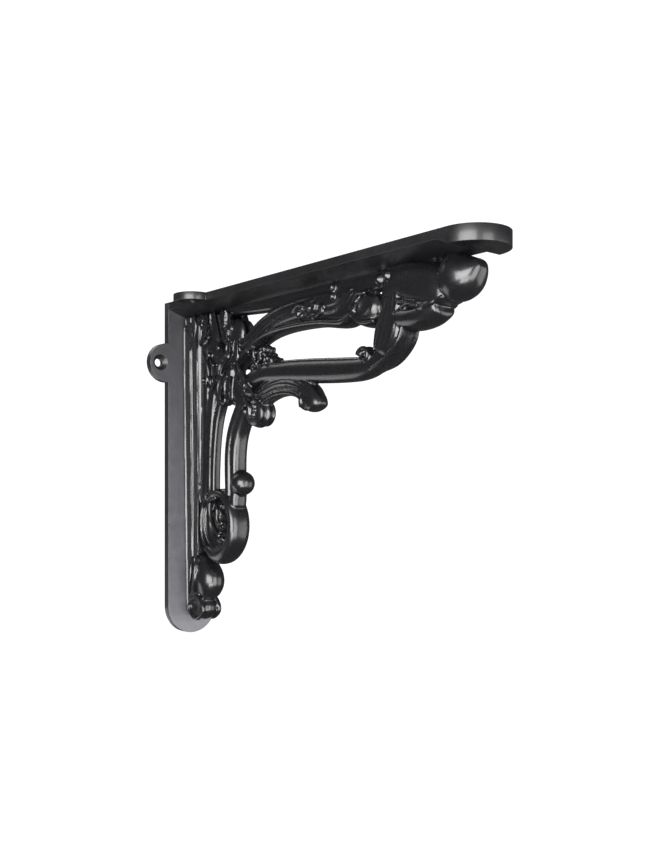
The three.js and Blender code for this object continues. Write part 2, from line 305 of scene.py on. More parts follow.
def limb(stations, square=0.75, x=0.0, steps=None, sides=None):
    # each station: u, z, half width in the drawing, half thickness across, and a sideways shift if given
    full = [list(s) + [0.0] * (5 - len(s)) for s in stations]
    rows = smoothStations(full, steps or limbs["stepsPerSpan"])
    bpy.ops.object.select_all(action="DESELECT")
    bpy.ops.mesh.primitive_circle_add(
        vertices=sides or limbs["sides"], radius=1, fill_type="NGON", location=(0, 0, 0)
    )
    piece = bpy.context.active_object
    for vertex in piece.data.vertices:
        angle = math.atan2(vertex.co.y, vertex.co.x)
        across = math.copysign(abs(math.cos(angle)) ** square, math.cos(angle))
        along = math.copysign(abs(math.sin(angle)) ** square, math.sin(angle))
        vertex.co.x = across * rows[0][3] * mm
        vertex.co.y = along * rows[0][2] * mm
    centre = at(rows[0][0], rows[0][1], x + rows[0][4])
    turn = turnAt(rows, 0)
    bpy.ops.object.mode_set(mode="EDIT")
    bpy.ops.mesh.select_all(action="SELECT")
    bpy.ops.transform.rotate(value=-turn * turnSign, orient_axis="X", center_override=(0, 0, 0))
    bpy.ops.transform.translate(value=centre)
    for index in range(1, len(rows)):
        last, row = rows[index - 1], rows[index]
        target = at(row[0], row[1], x + row[4])
        nextTurn = turnAt(rows, index)
        change = (nextTurn - turn + math.pi) % (2 * math.pi) - math.pi
        bpy.ops.mesh.extrude_region_move()
        bpy.ops.transform.translate(value=target - centre)
        bpy.ops.transform.rotate(value=-change * turnSign, orient_axis="X", center_override=target)
        grow = (row[3] / last[3], row[2] / last[2], row[2] / last[2])
        bpy.ops.transform.resize(value=grow, center_override=target)
        turn, centre = nextTurn, target
    bpy.ops.object.mode_set(mode="OBJECT")
    roundEnds(piece, rows, x)
    return piece


def roundEnds(piece, rows, x):
    # push the middle of both end faces out into a dome
    ends = []
    for tip, near in ((rows[-1], rows[-2]), (rows[0], rows[1])):
        ends.append((at(tip[0], tip[1], x + tip[4]), at(near[0], near[1], x + near[4]), tip[2]))
    mesh = bmesh.new()
    mesh.from_mesh(piece.data)
    mesh.faces.ensure_lookup_table()
    for cap in [face for face in mesh.faces if len(face.verts) > 4]:
        normal = cap.normal.copy()
        middle = cap.calc_center_median()
        tip, near, size = min(ends, key=lambda end: (middle - end[0]).length)
        if normal.dot(tip - near) < 0:
            normal = -normal
        bmesh.ops.inset_region(mesh, faces=[cap], thickness=size * limbs["capInset"] * mm)
        for vertex in cap.verts:
            vertex.co += normal * size * limbs["capRise"] * mm
    bmesh.ops.recalc_face_normals(mesh, faces=mesh.faces)
    mesh.to_mesh(piece.data)
    mesh.free()


def findTurnSign():
    # which way the rotate operator turns here
    bpy.ops.object.select_all(action="DESELECT")
    bpy.ops.mesh.primitive_circle_add(vertices=8, radius=1, fill_type="NGON", location=(0, 0, 0))
    probe = bpy.context.active_object
    bpy.ops.object.mode_set(mode="EDIT")
    bpy.ops.mesh.select_all(action="SELECT")
    bpy.ops.transform.rotate(value=0.5, orient_axis="X", center_override=(0, 0, 0))
    bpy.ops.object.mode_set(mode="OBJECT")
    high = max(probe.data.vertices, key=lambda v: v.co.y)
    sign = 1.0 if high.co.z < 0 else -1.0
    bpy.data.objects.remove(probe)
    return sign


balls = {"segments": 24, "rings": 14}


def boss(u, z, ru, rz, rx, x=0.0):
    # a ball with its own half size along u, along z and across
    bpy.ops.object.select_all(action="DESELECT")
    bpy.ops.mesh.primitive_uv_sphere_add(
        segments=balls["segments"], ring_count=balls["rings"], radius=1, rotation=(0, math.pi / 2, 0)
    )
    ball = bpy.context.active_object
    bpy.ops.object.transform_apply(location=True, rotation=True, scale=True)
    middle = at(u, z, x)
    for vertex in ball.data.vertices:
        vertex.co = (
            middle.x + vertex.co.x * rx * mm,
            middle.y + vertex.co.y * ru * mm,
            middle.z + vertex.co.z * rz * mm,
        )
    return ball


def curl(u, z, startReach, endReach, startAngle, turn, width, thick, x=0.0, steps=10):
    # a spiral roll seen from the side, finer towards its eye
    stations = []
    for step in range(steps + 1):
        share = step / steps
        angle = math.radians(startAngle + turn * share)
        reach = startReach + (endReach - startReach) * share
        stations.append([
            u + math.cos(angle) * reach, z + math.sin(angle) * reach,
            width * (1 - 0.35 * share), thick * (1 - 0.2 * share),
        ])
    return limb(stations, square=0.9, x=x, steps=1, sides=10)


def fineLine(side, stations):
    # a fine raised line on one side face
    placed = [[u, z, width, thick, side * out] for u, z, width, thick, out in stations]
    return limb(placed, square=1.0, steps=3, sides=8)


def offsetPath(path, shift):
    # the same path moved to its left in the drawing
    moved = []
    for index, (u, z) in enumerate(path):
        ahead = path[min(index + 1, len(path) - 1)]
        behind = path[max(index - 1, 0)]
        du, dz = ahead[0] - behind[0], ahead[1] - behind[1]
        length = math.hypot(du, dz)
        moved.append((u - dz / length * shift, z + du / length * shift))
    return moved


leaves = {"steps": 7, "rim": 0.75}


def leaf(u, z, length, width, angle, out, thick, bend):
    # a pointed leaf on both faces, dished between two raised edges that meet at its tip
    steps, rim = leaves["steps"], leaves["rim"]
    spine, widths = [(u, z)], []
    for step in range(steps):
        heading = math.radians(angle + bend * step / (steps - 1))
        a, b = spine[-1]
        spine.append((a + math.cos(heading) * length / steps, b + math.sin(heading) * length / steps))
    for step in range(steps + 1):
        widths.append(width / 2 * math.sin(math.pi * (0.2 + 0.78 * step / steps)) ** 0.8)
    loop = []
    for shift in (1, -1):
        edge = offsetPath(spine, shift)
        line = [(a + (c - a) * w, b + (d - b) * w) for (a, b), (c, d), w in zip(spine, edge, widths)]
        loop += line[::shift]
    pieces = []
    for side in (-1, 1):
        body = [
            [a, b, max(w * 0.92, 0.6), thick * 0.7, side * (out - 0.6)] for (a, b), w in zip(spine, widths)
        ]
        pieces.append(limb(body, square=0.9, steps=1, sides=10))
        edge = [[a, b, rim, rim, side * (out + thick * 0.5)] for a, b in loop]
        pieces.append(limb(edge, square=1.0, steps=1, sides=6))
    return pieces


def reededStem():
    pieces = []
    # the flat-sided back of the stem, then round reeds that grow thinner away from the wall
    pieces.append(limb([
        [9.5, -14, 7, 7.4], [9.5, -60, 7, 7], [9.5, -108, 6.6, 6.2], [9, -207, 5.6, 4.6],
    ], square=0.4, steps=3))
    pieces.append(limb([
        [19, -14, 5, 7.2], [19, -62, 4.8, 6.6], [18.4, -103, 4.6, 5.8], [15.5, -196, 4.4, 4.8],
    ], square=0.45, steps=3))
    reeds = [
        [[28, -30, 4.8, 6.4], [27.4, -64, 4.6, 5.8], [26, -98, 4.2, 5.2], [23, -131, 4.2, 4.8]],
        [[36, -55, 4.2, 5], [32, -76, 3.6, 4.8], [29.5, -98, 3.4, 4.4], [28.5, -127, 3.6, 4.5]],
        [
            [43.6, -62, 3.6, 4], [37.6, -77, 2.6, 3.6], [34.6, -92, 2.4, 3.2], [32.9, -110, 2.4, 3.2],
            [32.3, -127, 2.6, 3.2],
        ],
    ]
    for stations in reeds:
        pieces.append(limb(stations, square=0.58, steps=3))
    # two fine raised lines down each side face, and one along the edge by the plate
    lines = (
        (0.75, [[13.5, -31, 7.4], [13.5, -100, 6.6], [13, -150, 5.8], [12.6, -190, 4.9]]),
        (0.75, [[21.4, -31, 7.1], [21.4, -100, 6.2], [20.4, -150, 5.6], [19.4, -184, 5.1]]),
        (0.8, [[6.2, -16, 7.6], [6.2, -100, 6.6], [6, -150, 5.9], [6, -205, 4.8]]),
    )
    for thick, line in lines:
        for side in (-1, 1):
            pieces.append(fineLine(side, [[u, z, thick, thick, reach] for u, z, reach in line]))
    return pieces


def lowerScroll():
    pieces = []
    # a tall smooth bar round the front and bottom, fullest below
    pieces.append(limb([
        [32, -131, 2.8, 6.2], [36, -127.6, 3.0, 6.8], [43, -126.2, 3.2, 7.2], [50.5, -129, 3.4, 7.6],
        [57, -136, 3.6, 7.8], [59.2, -145.5, 3.9, 8], [57.4, -154.8, 4.8, 8], [51.5, -162, 5.9, 8],
        [44, -165.8, 6.5, 7.8], [36, -166, 5.4, 7.2], [30, -162, 3.4, 6.4],
    ], square=0.85, steps=2, sides=16))
    # two strands that part at the top and meet again below
    for width, thick, path in (
        (2.0, 7.2, [(34, -128.5), (27, -133), (24.4, -142), (25, -152), (29.5, -161.5), (37, -168)]),
        (1.7, 6.8, [(33, -131), (29.6, -138), (29.4, -147), (32.6, -155.5), (39, -162), (46, -164)]),
    ):
        pieces.append(limb([[u, z, width, thick] for u, z in path], square=0.95, steps=3, sides=10))
    pieces.append(limb([
        [31, -131, 4, 4.2], [27.6, -140, 4.6, 4.4], [29, -151, 4.8, 4.4], [36, -159, 5, 4.4],
        [46, -161, 5, 4.4], [54, -155, 4, 4.4],
    ], square=0.9, steps=3))
    # the sunk leaf in the middle, open beside the bar, with its raised rim
    dish = boss(42.5, -143.5, 14.5, 17.5, 1.9)
    cutAway(dish, eyeHole())
    pieces.append(dish)
    for side in (-1, 1):
        rim = [(41, -129.6), (34.6, -131), (33.6, -138), (37, -146.5), (45, -154)]
        pieces.append(fineLine(side, [[u, z, 1.2, 1.7, 4.8] for u, z in rim]))
        pieces.append(fineLine(side, [
            [37, -132, 1, 1.2, 3], [40.4, -137, 1.6, 1.8, 3.6], [39.8, -143, 1.3, 1.5, 3.6],
            [44, -149, 0.9, 1.1, 3.2],
        ]))
        for u, z, reach in ((46.5, -145.5, 1.9), (46, -151.5, 1.5), (47.6, -155.6, 1.6)):
            pieces.append(boss(u, z, reach, reach, 1.8, side * 4.4))
    return pieces


def eyeHole():
    # the small gap seen through the scroll
    bpy.ops.object.select_all(action="DESELECT")
    bpy.ops.mesh.primitive_cylinder_add(
        vertices=24, radius=1, depth=plates["width"] * mm, rotation=(0, math.pi / 2, 0)
    )
    hole = bpy.context.active_object
    bpy.ops.object.transform_apply(location=True, rotation=True, scale=True)
    middle = at(45.2, -135.8)
    for vertex in hole.data.vertices:
        vertex.co = (vertex.co.x, middle.y + vertex.co.y * 3.9 * mm, middle.z + vertex.co.z * 4.4 * mm)
    return hole


def budAndTip():
    # a full pear-shaped bud under two narrow leaves
    pieces = [limb([
        [24, -171, 5, 6.4], [25.5, -178, 9.4, 8.4], [26.5, -185, 10.6, 9], [24, -192, 7.4, 7.4],
    ], square=0.95, steps=3, sides=16)]
    pieces.append(limb([[14, -168, 3.4, 5], [20, -169.5, 4.4, 6], [26, -171.5, 4.4, 6.4]], square=0.9))
    for side in (-1, 1):
        for u, z, reach in ((15.5, -169, 8.0), (21.5, -168, 8.6)):
            pieces.append(fineLine(side, [
                [u - 1, z, 0.9, 1.1, 6.4], [u, z - 8, 1.8, 1.6, reach],
                [u - 1.5, z - 17, 1.4, 1.3, reach], [u - 3.5, z - 24, 0.8, 1, 7],
            ]))
    # the shell tip: a cup with a proud wavy rim
    shell = boss(19.5, -201.6, 9.6, 8.2, 7.2)
    for side in (-1, 1):
        cutAway(shell, boss(19.5, -201.8, 7, 5.8, 4, side * 8.4))
    pieces.append(shell)
    for side in (-1, 1):
        rim = []
        for step in range(25):
            angle = math.radians(step * 15)
            wave = 1 + 0.045 * math.cos(4 * angle + 0.6)
            rim.append([
                19.5 + math.cos(angle) * 8.4 * wave, -201.8 + math.sin(angle) * 7.0 * wave,
                1.4, 1.6, side * 6.2,
            ])
        pieces.append(limb(rim, square=1.0, steps=1, sides=8))
    pieces.append(limb([[10, -197, 2.4, 6.4], [20, -196.5, 2.4, 7], [28, -194, 2, 5]], square=0.9))
    return pieces


def hangingStem():
    pieces = []
    path = [
        [68, -72], [62.6, -79.6], [57.6, -89.5], [55.2, -102], [55.2, -118], [55.5, -127], [54.6, -134],
    ]
    for shift, width, thick in ((-3.4, 3.7, 5.2), (3.4, 4.0, 5.8)):
        stations = []
        for index, (u, z) in enumerate(offsetPath(path, shift)):
            stations.append([u, z, width * (1 if index < 4 else 0.92), thick])
        pieces.append(limb(stations, square=0.75, steps=3))
    pieces.append(boss(63.5, -120, 7.8, 7.8, 7.6))
    # the ribbed knob the stem hangs from
    pieces.append(boss(82, -77, 9.4, 9.2, 7.2))
    for across, reach in ((-4.6, 9.0), (0.0, 10.0), (4.6, 9.0)):
        pieces.append(boss(82.6, -77, reach, reach - 0.6, 2.5, across))
    for side in (-1, 1):
        pieces.append(fineLine(side, [
            [75, -68, 1.2, 1.5, 6.6], [80, -72.5, 1.5, 1.8, 7.2], [80.5, -79, 1.2, 1.5, 7],
        ]))
        for u, z, reach in ((85, -73, 1.2), (85.4, -75.8, 1.1), (84.6, -78.6, 1.0)):
            pieces.append(boss(u, z, reach, reach, 1.2, side * 7.3))
    return pieces


def mainLimb():
    pieces = []
    pieces.append(limb([
        [68, -60, 6, 6], [87.5, -53.5, 6.2, 6.2], [111.5, -54, 7, 6.6], [137.5, -56, 7.4, 6.6],
        [161, -57.8, 7.2, 6.6], [179, -58.4, 6.6, 6.4], [190, -56, 5.2, 6], [198, -51, 3.4, 5],
    ], square=0.85, steps=3, sides=16))
    # the turned-up end is squarer, cut flat, with a raised rim on its side faces
    pieces.append(limb([
        [180, -58.2, 5.6, 5.8], [193, -55, 5.4, 5.8], [203, -48.6, 5.2, 5.6], [209, -40, 5.2, 5.4],
        [209.6, -36.5, 5, 5.4],
    ], square=0.55, steps=3, sides=16))
    for side in (-1, 1):
        pieces.append(fineLine(side, [
            [188, -60, 0.9, 1.1, 5.2], [197, -57.4, 1.2, 1.4, 5.8], [205, -52, 1.3, 1.5, 6],
            [210.5, -45.5, 1.2, 1.4, 6], [212.4, -38.5, 1.1, 1.3, 5.6],
        ]))
    # curl in the corner
    pieces.append(boss(181, -52, 5.4, 5.2, 6))
    for side in (-1, 1):
        pieces.append(curl(183.5, -52.5, 5.0, 1.4, 170, -360, 1.4, 1.6, side * 6.4, 12))
    # the broad leaf that hangs from the shelf over the inner corner
    pieces.append(limb([
        [200, -10, 5, 5], [199, -27.5, 7, 5.4], [198, -42.5, 8, 5.4], [194, -54, 7, 5],
    ], square=0.85, steps=3))
    middle = [
        [206.5, -12, 3.6, 1.9], [205.5, -22, 5.2, 2.2], [203.4, -33, 7.8, 2.4], [200, -43.5, 9, 2.4],
        [196, -51.5, 6.6, 1.9],
    ]
    for side in (-1, 1):
        face = [[u, z, w, t, side * 5.0] for u, z, w, t in middle]
        pieces.append(limb(face, square=0.5, steps=3, sides=16))
        for share in (-0.66, -0.22, 0.22, 0.66):
            line = [[u + w * share, z, 0.45, 0.45, side * (5.0 + t)] for u, z, w, t in middle]
            pieces.append(limb(line, square=1.0, steps=3, sides=6))
    return pieces


def hookScroll():
    pieces = []
    path = [
        [77, -74], [85.5, -67.5], [98.5, -63], [112, -62.2], [124, -64.6], [132.5, -69.6], [136, -75.5],
        [136.4, -79],
    ]
    for shift, width, thick in ((4.6, 1.7, 5.0), (1.0, 2.7, 6.4), (-2.4, 1.3, 6.6), (-4.6, 1.9, 5.4)):
        stations = []
        for index, (u, z) in enumerate(offsetPath(path, shift)[:-1]):
            grow = 0.8 + min(index, 4) * 0.05
            stations.append([u, z, width * (grow if index < 5 else 1.15), thick * grow])
        pieces.append(limb(stations, square=0.8, steps=3))
    pieces.append(limb([
        [129, -68.6, 5, 5.6], [135.4, -73, 6.8, 6.2], [137.4, -77, 6.2, 5.8],
    ], square=0.8, steps=3, sides=16))
    # the small inner curl
    pieces.append(boss(128, -73.5, 4, 5, 5.6))
    for side in (-1, 1):
        pieces.append(fineLine(side, [
            [128.4, -69, 1.2, 1.3, 5.2], [129, -73, 1.6, 1.6, 5.8], [128, -76.5, 1.1, 1.2, 5.2],
        ]))
    return pieces


def upperBranch():
    pieces = []
    path = [
        [52, -49], [63.5, -41], [77, -34], [91.5, -26], [111, -21], [136.5, -19.5], [155.5, -20.5],
        [168, -21.5], [178.5, -21],
    ]
    widths = [6, 6, 6, 7.8, 9, 10, 11.5, 12, 11]
    pieces.append(limb([[u, z, w, 5.0] for (u, z), w in zip(path, widths)], square=0.6, steps=3, sides=16))
    # moulded bands that follow the branch from the heart
    for share, width, thick in ((0.8, 1.6, 6.2), (0.34, 1.3, 6.0), (-0.06, 1.3, 6.1), (-0.5, 1.5, 6.4)):
        stations = []
        for index, (u, z) in enumerate(offsetPath(path, share * 6.6)[:7]):
            stations.append([u, z, width, thick - max(index - 3, 0) * 0.25])
        pieces.append(limb(stations, square=0.9, steps=3, sides=10))
    # lower moulding, rolling up at its end
    pieces.append(limb([
        [65, -43, 2.8, 7.0], [78, -36, 2.5, 7.2], [93.5, -30.6, 2.5, 7.2], [115, -28.6, 2.5, 7],
        [141, -29.2, 2.5, 7], [155, -31, 2.9, 7.2], [165, -32, 3, 7.4], [173, -29, 2.8, 7.2],
        [177, -23.5, 2, 6.8],
    ], square=0.95, steps=3))
    for shift in (5.2, 9.2):
        pieces.append(limb([
            [146, -29.5 + shift, 1.2, 6.2], [157, -30 + shift, 1.5, 6.8], [167, -27 + shift, 1.5, 6.8],
            [173, -20.5 + shift * 0.6, 1.2, 6.2],
        ], square=1.0, steps=3, sides=8))
    pieces.append(limb([
        [48, -9.5, 4, 4.5], [100, -11, 6, 4.6], [170, -12, 7, 4.6], [232, -12, 6, 4.6],
    ], square=0.6, steps=3))
    # rosette, small leaves and beads on both faces
    for side in (-1, 1):
        for petal in range(6):
            angle = math.radians(petal * 60 + 15)
            u, z = 138 + math.cos(angle) * 3.6, -21 + math.sin(angle) * 3.6
            pieces.append(boss(u, z, 2.2, 2.2, 1.5, side * 5.7))
        pieces.append(boss(138, -21, 1.8, 1.8, 2, side * 6.4))
        for u, z in ((157, -12), (157, -17)):
            pieces.append(boss(u, z, 1.7, 2, 1.8, side * 5.6))
        pieces.append(curl(146, -22, 5, 1.4, 170, 300, 1.2, 1.4, side * 5.8, 10))
        pieces.append(fineLine(side, [
            [120, -20, 0.8, 1, 5], [127, -17.5, 1.2, 1.4, 5.8], [133, -19, 0.9, 1.1, 5.4],
        ]))
        pieces.append(curl(128.5, -23.5, 3.6, 1.0, 60, 300, 1.0, 1.2, side * 5.6, 9))
    return pieces


def frontLobes():
    pieces = []
    # round volute beside the leaf
    volute = boss(183, -26.8, 9.8, 9, 7.4)
    for side in (-1, 1):
        cutAway(volute, boss(184, -26, 7.2, 6.6, 3.6, side * 8.2))
    pieces.append(volute)
    for side in (-1, 1):
        pieces.append(fineLine(side, [
            [174.6, -22, 1.2, 1.4, 5.6], [179, -18.6, 1.5, 1.7, 6.6], [185, -19.4, 1.2, 1.4, 6.6],
        ]))
    pieces.append(limb([
        [172.5, -24, 2.4, 7.6], [175.5, -31, 2.4, 8], [183, -35, 2.4, 8], [191.5, -35, 2.4, 7.8],
    ], square=1.0, steps=3))
    pieces.append(boss(193.5, -13.5, 4.4, 4.4, 7))
    for side in (-1, 1):
        pieces.append(boss(202.5, -13.2, 2.6, 2.8, 2.4, side * 7.4))
    # lower lobe with its squared end
    pieces.append(limb([
        [198, -33.5, 4.4, 7], [208, -35.4, 6.2, 8.2], [219, -36.6, 6.8, 9], [229, -35.6, 6.6, 9],
        [236, -33.6, 5, 8],
    ], square=0.92, steps=3, sides=16))
    # flat-sided barrel, tipping down to its rounded end
    pieces.append(limb([
        [200, -12, 6, 6.6], [212, -16.2, 9.4, 9], [224, -20, 11.2, 10.4], [234.5, -23.4, 11, 10.6],
        [241.5, -26, 7.4, 9.4],
    ], square=0.62, steps=3, sides=20))
    # the broad end lobe, drawn out to a point at its front
    pieces.append(limb([
        [240, -19, 10.6, 9.4], [246, -19.8, 12.8, 11.6], [252, -19.4, 11.2, 10.8],
        [257.5, -17.4, 6.8, 7.6], [260.6, -15.8, 3.2, 4.4],
    ], square=0.9, steps=3, sides=20))
    pieces.append(limb([
        [196, -24, 6, 5], [210, -26, 6, 5.6], [224, -28.5, 5, 6.4], [238, -29.5, 4, 6.8],
    ], square=0.7, steps=3))
    # ridge and small curled tips in the recess between barrel and lower lobe
    pieces.append(limb([
        [210, -27.5, 2.2, 9], [222, -29.6, 2.4, 9.8], [234, -31, 2.4, 9.8], [242, -30, 2, 9],
    ], square=1.0, steps=3))
    for side in (-1, 1):
        pieces.append(fineLine(side, [
            [213, -31.5, 0.9, 1.2, 7.6], [219, -29.6, 1.4, 1.6, 8.8], [225, -31.5, 0.9, 1.2, 8],
        ]))
        pieces.append(fineLine(side, [
            [225, -33.4, 0.9, 1.2, 8], [231, -33, 1.4, 1.7, 8.8], [237, -31.6, 0.9, 1.2, 8.2],
        ]))
    return pieces


def foliage():
    pieces = []
    pieces.append(limb([
        [9, -14, 8, 5.6], [24.5, -17, 9, 5.4], [40, -18, 8, 5], [50, -23, 6, 4.8], [58, -31, 6, 4.8],
    ], square=0.8))
    pieces.append(limb([
        [29, -27.5, 9, 5], [40.5, -39, 10, 5], [52, -50, 11, 5], [61, -62, 8, 4.8], [70, -71, 6, 4.8],
    ], square=0.8))
    pieces.append(limb([
        [22.5, -29.5, 8, 5.2], [31.5, -47, 8, 4.8], [41, -60, 6, 4.4], [48, -68, 4, 4.2],
    ], square=0.8))
    # corner leaves
    for u, z, length, width, angle, bend in (
        (9.5, -9, 17, 6, -80, 20), (16, -9, 20, 6.5, -84, -24), (24, -10, 15, 6.5, -60, 50),
        (31, -10, 21, 7, -92, -30), (39.5, -10, 22, 7, -84, 36), (48, -11, 22, 7.5, -58, -30),
        (56, -13, 12, 5, -80, 30),
    ):
        pieces += leaf(u, z, length, width, angle, 6.0, 2.4, bend)
    # the big dark rounded leaf behind them
    for side in (-1, 1):
        pieces.append(boss(62, -26, 9, 9.5, 3, side * 3.4))
    # the heart: long S-curled leaves hanging left and right from its crown
    for u, z, length, width, angle, bend in (
        (57.5, -31, 11, 4, -92, 10), (57, -40, 16, 5, 206, 52),
        (66, -31, 13, 5, -104, 40), (68, -50, 17, 6.5, -50, -44),
        (58, -53, 17, 6.5, -112, 44), (47, -58, 12, 5, -100, 30),
        (70, -54, 20, 6, -62, 46), (52, -52, 15, 6, -128, 40),
    ):
        pieces += leaf(u, z, length, width, angle, 5.9, 2.6, bend)
    for side in (-1, 1):
        for shift in (-1.5, 1.5):
            for path in (
                ((58, -40), (51.5, -43.6), (48, -50.2), (42.4, -53.8), (40, -60)),
                ((62.5, -41), (66.8, -46.4), (69, -52.4), (71.4, -55.4), (76, -60.6)),
            ):
                bowed = offsetPath(path, shift)
                bowed[0], bowed[-1] = path[0], path[-1]
                pieces.append(fineLine(side, [[u, z, 0.95, 1.3, 7.6] for u, z in bowed]))
        pieces.append(curl(33.5, -55, 4.6, 1.4, 100, -320, 1.1, 1.3, side * 6.2, 10))
        pieces.append(fineLine(side, [
            [26, -33, 0.9, 1, 6], [33, -42, 1.5, 1.6, 6.6], [35, -54, 1, 1.2, 6],
        ]))
        for u, z, reach in (
            (46, -33.6, 2), (34.5, -37, 2.2), (28.6, -52.6, 1.7), (40, -44, 1.6), (62, -46, 2.2),
        ):
            pieces.append(boss(u, z, reach, reach, 1.8, side * 6.4))
        for step in range(5):
            pieces.append(boss(55.5 - step * 0.3, -11.5 - step * 2.4, 1.3, 1.3, 1.4, side * 7.6))
    pieces.append(boss(56, -50, 6, 6, 6.8))
    # berries
    for u, z, radius in (
        (90, -39, 3.2), (87, -44.5, 3.6), (93, -45, 2.8), (97.5, -46.5, 3.4), (86, -51, 3.6),
        (81, -46, 3.4), (92.5, -50, 2.6), (84, -40.5, 2.6), (101, -49, 2.2), (78, -50, 3),
    ):
        pieces.append(boss(u, z, radius, radius, radius * 1.2))
        for side in (-1, 1):
            pieces.append(boss(u + 0.6, z + 0.4, radius * 0.6, radius * 0.6, 1.4, side * radius * 1.2))
    for side in (-1, 1):
        for u, z, reach in (
            (84, -47, 1.9), (89, -49.5, 1.7), (94, -47.6, 1.5), (88, -41, 1.7), (92, -42, 1.4),
            (82.5, -43, 1.5), (97, -49, 1.4),
        ):
            pieces.append(boss(u, z, reach, reach, 1.5, side * 4.6))
        pieces.append(curl(79, -40, 4.4, 1.2, 300, 330, 1.1, 1.3, side * 5.2, 10))
    return pieces


casting = {
    "rounder": 2,
    "voxel": 0.56,
    "smoothShare": 0.5,
    "smoothRounds": 2,
    "keepTriangles": 188000,
    "smoothUpTo": 40,
    "flatFrom": 12.0,
    "squareFrom": 0.7,
    "square": 0.9999,
}


def makeScrollwork():
    pieces = []
    for section in (
        reededStem, lowerScroll, budAndTip, hangingStem, mainLimb,
        hookScroll, upperBranch, frontLobes, foliage,
    ):
        made = section()
        print("scrollwork:", section.__name__, len(made))
        pieces += made
    whole = joinAll(pieces, "scrollwork")
    useModifier(whole, "SUBSURF", levels=casting["rounder"], render_levels=casting["rounder"])
    useModifier(whole, "REMESH", mode="VOXEL", voxel_size=casting["voxel"] * mm)
    useModifier(whole, "SMOOTH", factor=casting["smoothShare"], iterations=casting["smoothRounds"])
    print("scrollwork faces", len(whole.data.polygons))
    return whole


def finishCasting(plateBody, scrolls):
    useModifier(scrolls, "TRIANGULATE")
    count = len(scrolls.data.polygons)
    if count > casting["keepTriangles"]:
        useModifier(scrolls, "DECIMATE", ratio=casting["keepTriangles"] / count)
    useModifier(plateBody, "TRIANGULATE")
    print("plate triangles", len(plateBody.data.polygons))
    whole = joinAll([scrolls, plateBody], "bracketCasting")
    for vertex in whole.data.vertices:  # nothing stands past the casting's own size
        vertex.co = [min(max(value, low), high) for value, low, high in zip(vertex.co, cadLow, cadHigh)]
    whole.data.validate()
    onlySelect(whole)
    bpy.ops.object.shade_smooth_by_angle(angle=math.radians(casting["smoothUpTo"]))
    for face in whole.data.polygons:
        square = max(abs(part) for part in face.normal) > casting["square"]
        broad = face.area > casting["flatFrom"] * mm * mm
        if broad or square and face.area > casting["squareFrom"] * mm * mm:
            face.use_smooth = False  # the broad faces of the plates stay flat
    print("casting triangles", len(whole.data.polygons))
    return whole


paint = {
    "specular": 0.55,
    "coat": 0.3,
    "coatRough": 0.14,
    "deep": (0.0035, 0.0035, 0.0044, 1),
    "thin": (0.022, 0.0215, 0.026, 1),
    "thinFrom": (0.56, 0.66),
    "rough": (0.24, 0.34),
    "wallRough": 0.26,
    "shelfRough": 0.12,
    "plateTone": (0.0012, 0.0012, 0.0018, 1),
    "plateDust": (0.005, 0.0049, 0.0062, 1),
    "plateFace": -0.0056,
    "plateUnder": -0.0098,
    # painted light: colour, plane and height range of the paler, lit-looking front face of the wall plate
    "paintedLitFoot": (0.085, 0.083, 0.094, 1),
    "paintedLitFace": -0.00508,
    "paintedLitFrom": (0.07, -0.24),
    "patch": (40.0, 4),
    "ripple": (180.0, 3),
    "grain": (900.0, 3),
    "rippleBump": (0.1, 0.0006),
    "grainBump": (0.05, 0.00025),
}


